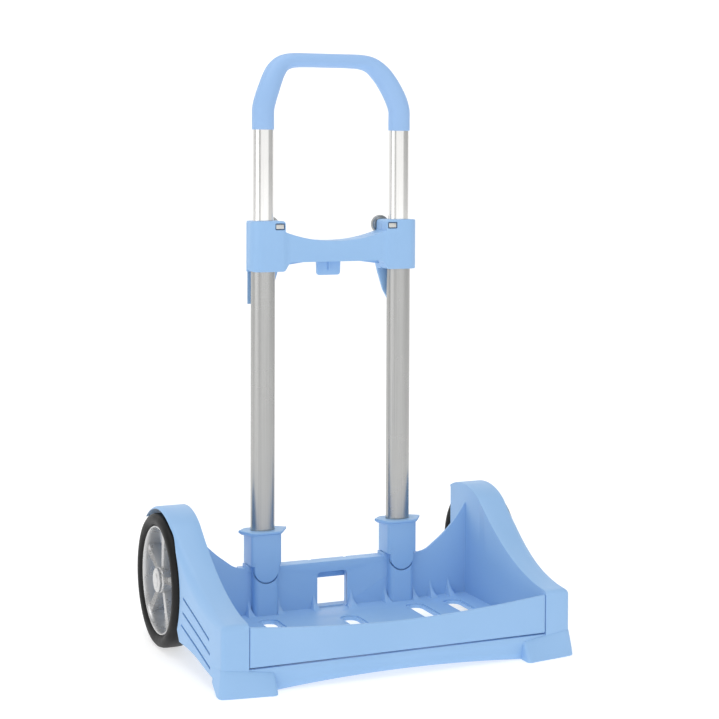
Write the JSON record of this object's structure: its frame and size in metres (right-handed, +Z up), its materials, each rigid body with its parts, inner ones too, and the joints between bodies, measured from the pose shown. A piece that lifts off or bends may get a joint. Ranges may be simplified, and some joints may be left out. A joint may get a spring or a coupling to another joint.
{
  "type": "school bag trolley",
  "caption": "Wheeled bag carrier with a slotted tray, drop front, side fenders over two spoked wheels, twin telescopic tubes, crossbar and hooped pull grip.",
  "frame": {"origin": "on the ground, midway between the front feet and the back of the wheels, on the plane of symmetry", "axes": "+Z up, X across the trolley through both wheels, -Y towards the front flap, +Y towards the wheels and the person pulling it"},
  "size_m": [0.376, 0.253, 0.5884],
  "materials": {
    "blue_base": "moulded, satin sheen",
    "blue_flap": "moulded, satin sheen",
    "blue_socket": "moulded, satin sheen",
    "blue_crossbar": "moulded, satin sheen",
    "blue_grip": "fine matt moulding",
    "satin_aluminium": "satin anodised",
    "bright_aluminium": "polished",
    "black_plastic": "moulded",
    "pad_plastic": "moulded",
    "white_bush": "moulded",
    "silver_plastic": "silver-grey moulding",
    "black_rubber": "smooth, slightly glossy sidewall",
    "screw_steel": "zinc plated",
    "zinc_steel": "zinc plated",
    "nut_steel": "knurled, darkened",
    "spring_steel": "drawn wire",
    "axle_steel": "turned",
    "pin_steel": "drawn"
  },
  "bodies": {
    "base": {"base_tray": "blue_base", "tray_back": "blue_base", "side_wall_left": "blue_base", "side_wall_right": "blue_base", "tube_socket_left": "blue_socket", "tube_socket_right": "blue_socket", "socket_screw_left": "screw_steel", "socket_screw_right": "screw_steel", "outer_tube_left": "satin_aluminium", "outer_tube_right": "satin_aluminium", "guide_bush_left": "black_plastic", "guide_bush_right": "black_plastic", "crossbar_front": "blue_crossbar", "crossbar_rear": "blue_crossbar", "crossbar_screw_1": "screw_steel", "crossbar_screw_2": "screw_steel", "crossbar_screw_3": "screw_steel", "crossbar_screw_4": "screw_steel", "key_bolt_left": "zinc_steel", "key_bolt_right": "zinc_steel", "nut_washer_left": "zinc_steel", "nut_washer_right": "zinc_steel", "friction_pad_left": "pad_plastic", "friction_pad_right": "pad_plastic", "pad_spring_left": "spring_steel", "pad_spring_right": "spring_steel", "stub_axle_left": "axle_steel", "stub_axle_right": "axle_steel", "axle_washer_left": "axle_steel", "axle_washer_right": "axle_steel", "push_nut_left": "axle_steel", "push_nut_right": "axle_steel"},
    "handle": {"handle_grip": "blue_grip", "inner_tube_left": "bright_aluminium", "inner_tube_right": "bright_aluminium", "tube_glide_left": "black_plastic", "tube_glide_right": "black_plastic", "grip_screw_left": "screw_steel", "grip_screw_right": "screw_steel"},
    "flap": {"front_flap": "blue_flap", "flap_pin_left": "pin_steel", "flap_pin_right": "pin_steel"},
    "wheel_left": {"wheel_rim_left": "silver_plastic", "tyre_left": "black_rubber", "hub_cap_left": "silver_plastic", "inner_bush_left": "white_bush", "outer_bush_left": "white_bush"},
    "wheel_right": {"wheel_rim_right": "silver_plastic", "tyre_right": "black_rubber", "hub_cap_right": "silver_plastic", "inner_bush_right": "white_bush", "outer_bush_right": "white_bush"},
    "nut_left": {"thumb_nut_left": "nut_steel"},
    "nut_right": {"thumb_nut_right": "nut_steel"}
  },
  "joints": [
    {"name": "handle_slide", "type": "slide", "parent": "base", "child": "handle", "axis": [0, 0, 1], "range_m": [-0.09, 0.17]},
    {"name": "flap_hinge", "type": "hinge", "parent": "base", "child": "flap", "pos_m": [0, -0.1172, 0.0272], "axis": [1, 0, 0], "range_deg": [0, 90]},
    {"name": "wheel_left_spin", "type": "hinge", "parent": "base", "child": "wheel_left", "pos_m": [-0.17, 0.061, 0.0655], "axis": [1, 0, 0], "continuous": true},
    {"name": "wheel_right_spin", "type": "hinge", "parent": "base", "child": "wheel_right", "pos_m": [0.17, 0.061, 0.0655], "axis": [1, 0, 0], "continuous": true},
    {"name": "nut_left_turn", "type": "hinge", "parent": "base", "child": "nut_left", "pos_m": [-0.061, 0.0727, 0.413], "axis": [0, 1, 0], "range_deg": [0, 720]},
    {"name": "nut_right_turn", "type": "hinge", "parent": "base", "child": "nut_right", "pos_m": [0.061, 0.0727, 0.413], "axis": [0, 1, 0], "range_deg": [0, 720]}
  ]
}
